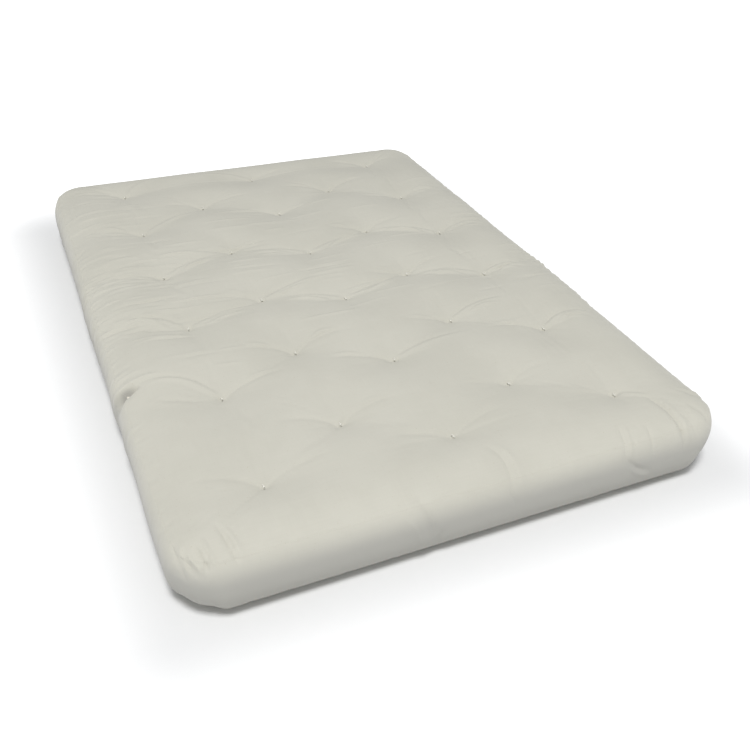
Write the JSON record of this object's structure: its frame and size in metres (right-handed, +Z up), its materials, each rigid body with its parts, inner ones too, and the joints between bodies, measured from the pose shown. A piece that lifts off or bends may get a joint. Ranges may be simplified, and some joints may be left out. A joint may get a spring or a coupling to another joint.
{
  "type": "futon mattress",
  "caption": "Tufted cotton futon mattress in layers of batting and foam, sewn in a cover with a bulging border, that folds lengthwise from a bed into a sofa's seat and back.",
  "frame": {"origin": "middle of the underside, on the surface that the mattress lies on", "axes": "+Z up; +Y along the length, from the foot to the head, and along the fold line; +X across the width, from the seat half to the back half"},
  "size_m": [1.372, 1.905, 0.2004],
  "materials": {
    "ticking": "natural unbleached cotton twill, matte, softly creased",
    "seam_thread": "ecru cotton sewing thread",
    "batting": "raw cotton batting, fluffy and matte",
    "foam": "pale yellow open-cell foam",
    "tuft_twine": "waxed off-white cotton twine"
  },
  "bodies": {
    "seat": {"seat_batt_1": "batting", "seat_batt_2": "batting", "seat_foam_lower": "foam", "seat_batt_3": "batting", "seat_batt_4": "batting", "seat_foam_upper": "foam", "seat_batt_5": "batting", "seat_batt_6": "batting", "seat_top_panel": "ticking", "seat_top_seam": "seam_thread", "seat_border": "ticking", "seat_bottom_seam": "seam_thread", "seat_bottom_panel": "ticking", "tuft_1_1": "tuft_twine", "tuft_1_2": "tuft_twine", "tuft_2_1": "tuft_twine", "tuft_3_1": "tuft_twine", "tuft_3_2": "tuft_twine", "tuft_4_1": "tuft_twine", "tuft_5_1": "tuft_twine", "tuft_5_2": "tuft_twine", "tuft_6_1": "tuft_twine", "tuft_7_1": "tuft_twine", "tuft_7_2": "tuft_twine", "tuft_8_1": "tuft_twine", "tuft_9_1": "tuft_twine", "tuft_9_2": "tuft_twine", "tuft_10_1": "tuft_twine", "tuft_11_1": "tuft_twine", "tuft_11_2": "tuft_twine"},
    "back": {"back_batt_1": "batting", "back_batt_2": "batting", "back_foam_lower": "foam", "back_batt_3": "batting", "back_batt_4": "batting", "back_foam_upper": "foam", "back_batt_5": "batting", "back_batt_6": "batting", "back_top_panel": "ticking", "back_top_seam": "seam_thread", "back_border": "ticking", "back_bottom_seam": "seam_thread", "back_bottom_panel": "ticking", "tuft_1_3": "tuft_twine", "tuft_2_2": "tuft_twine", "tuft_3_3": "tuft_twine", "tuft_4_2": "tuft_twine", "tuft_5_3": "tuft_twine", "tuft_6_2": "tuft_twine", "tuft_7_3": "tuft_twine", "tuft_8_2": "tuft_twine", "tuft_9_3": "tuft_twine", "tuft_10_2": "tuft_twine", "tuft_11_3": "tuft_twine"}
  },
  "joints": [
    {"name": "fold", "type": "hinge", "parent": "seat", "child": "back", "pos_m": [0, 0, 0.20445], "axis": [0, -1, 0], "range_deg": [0, 90]}
  ]
}
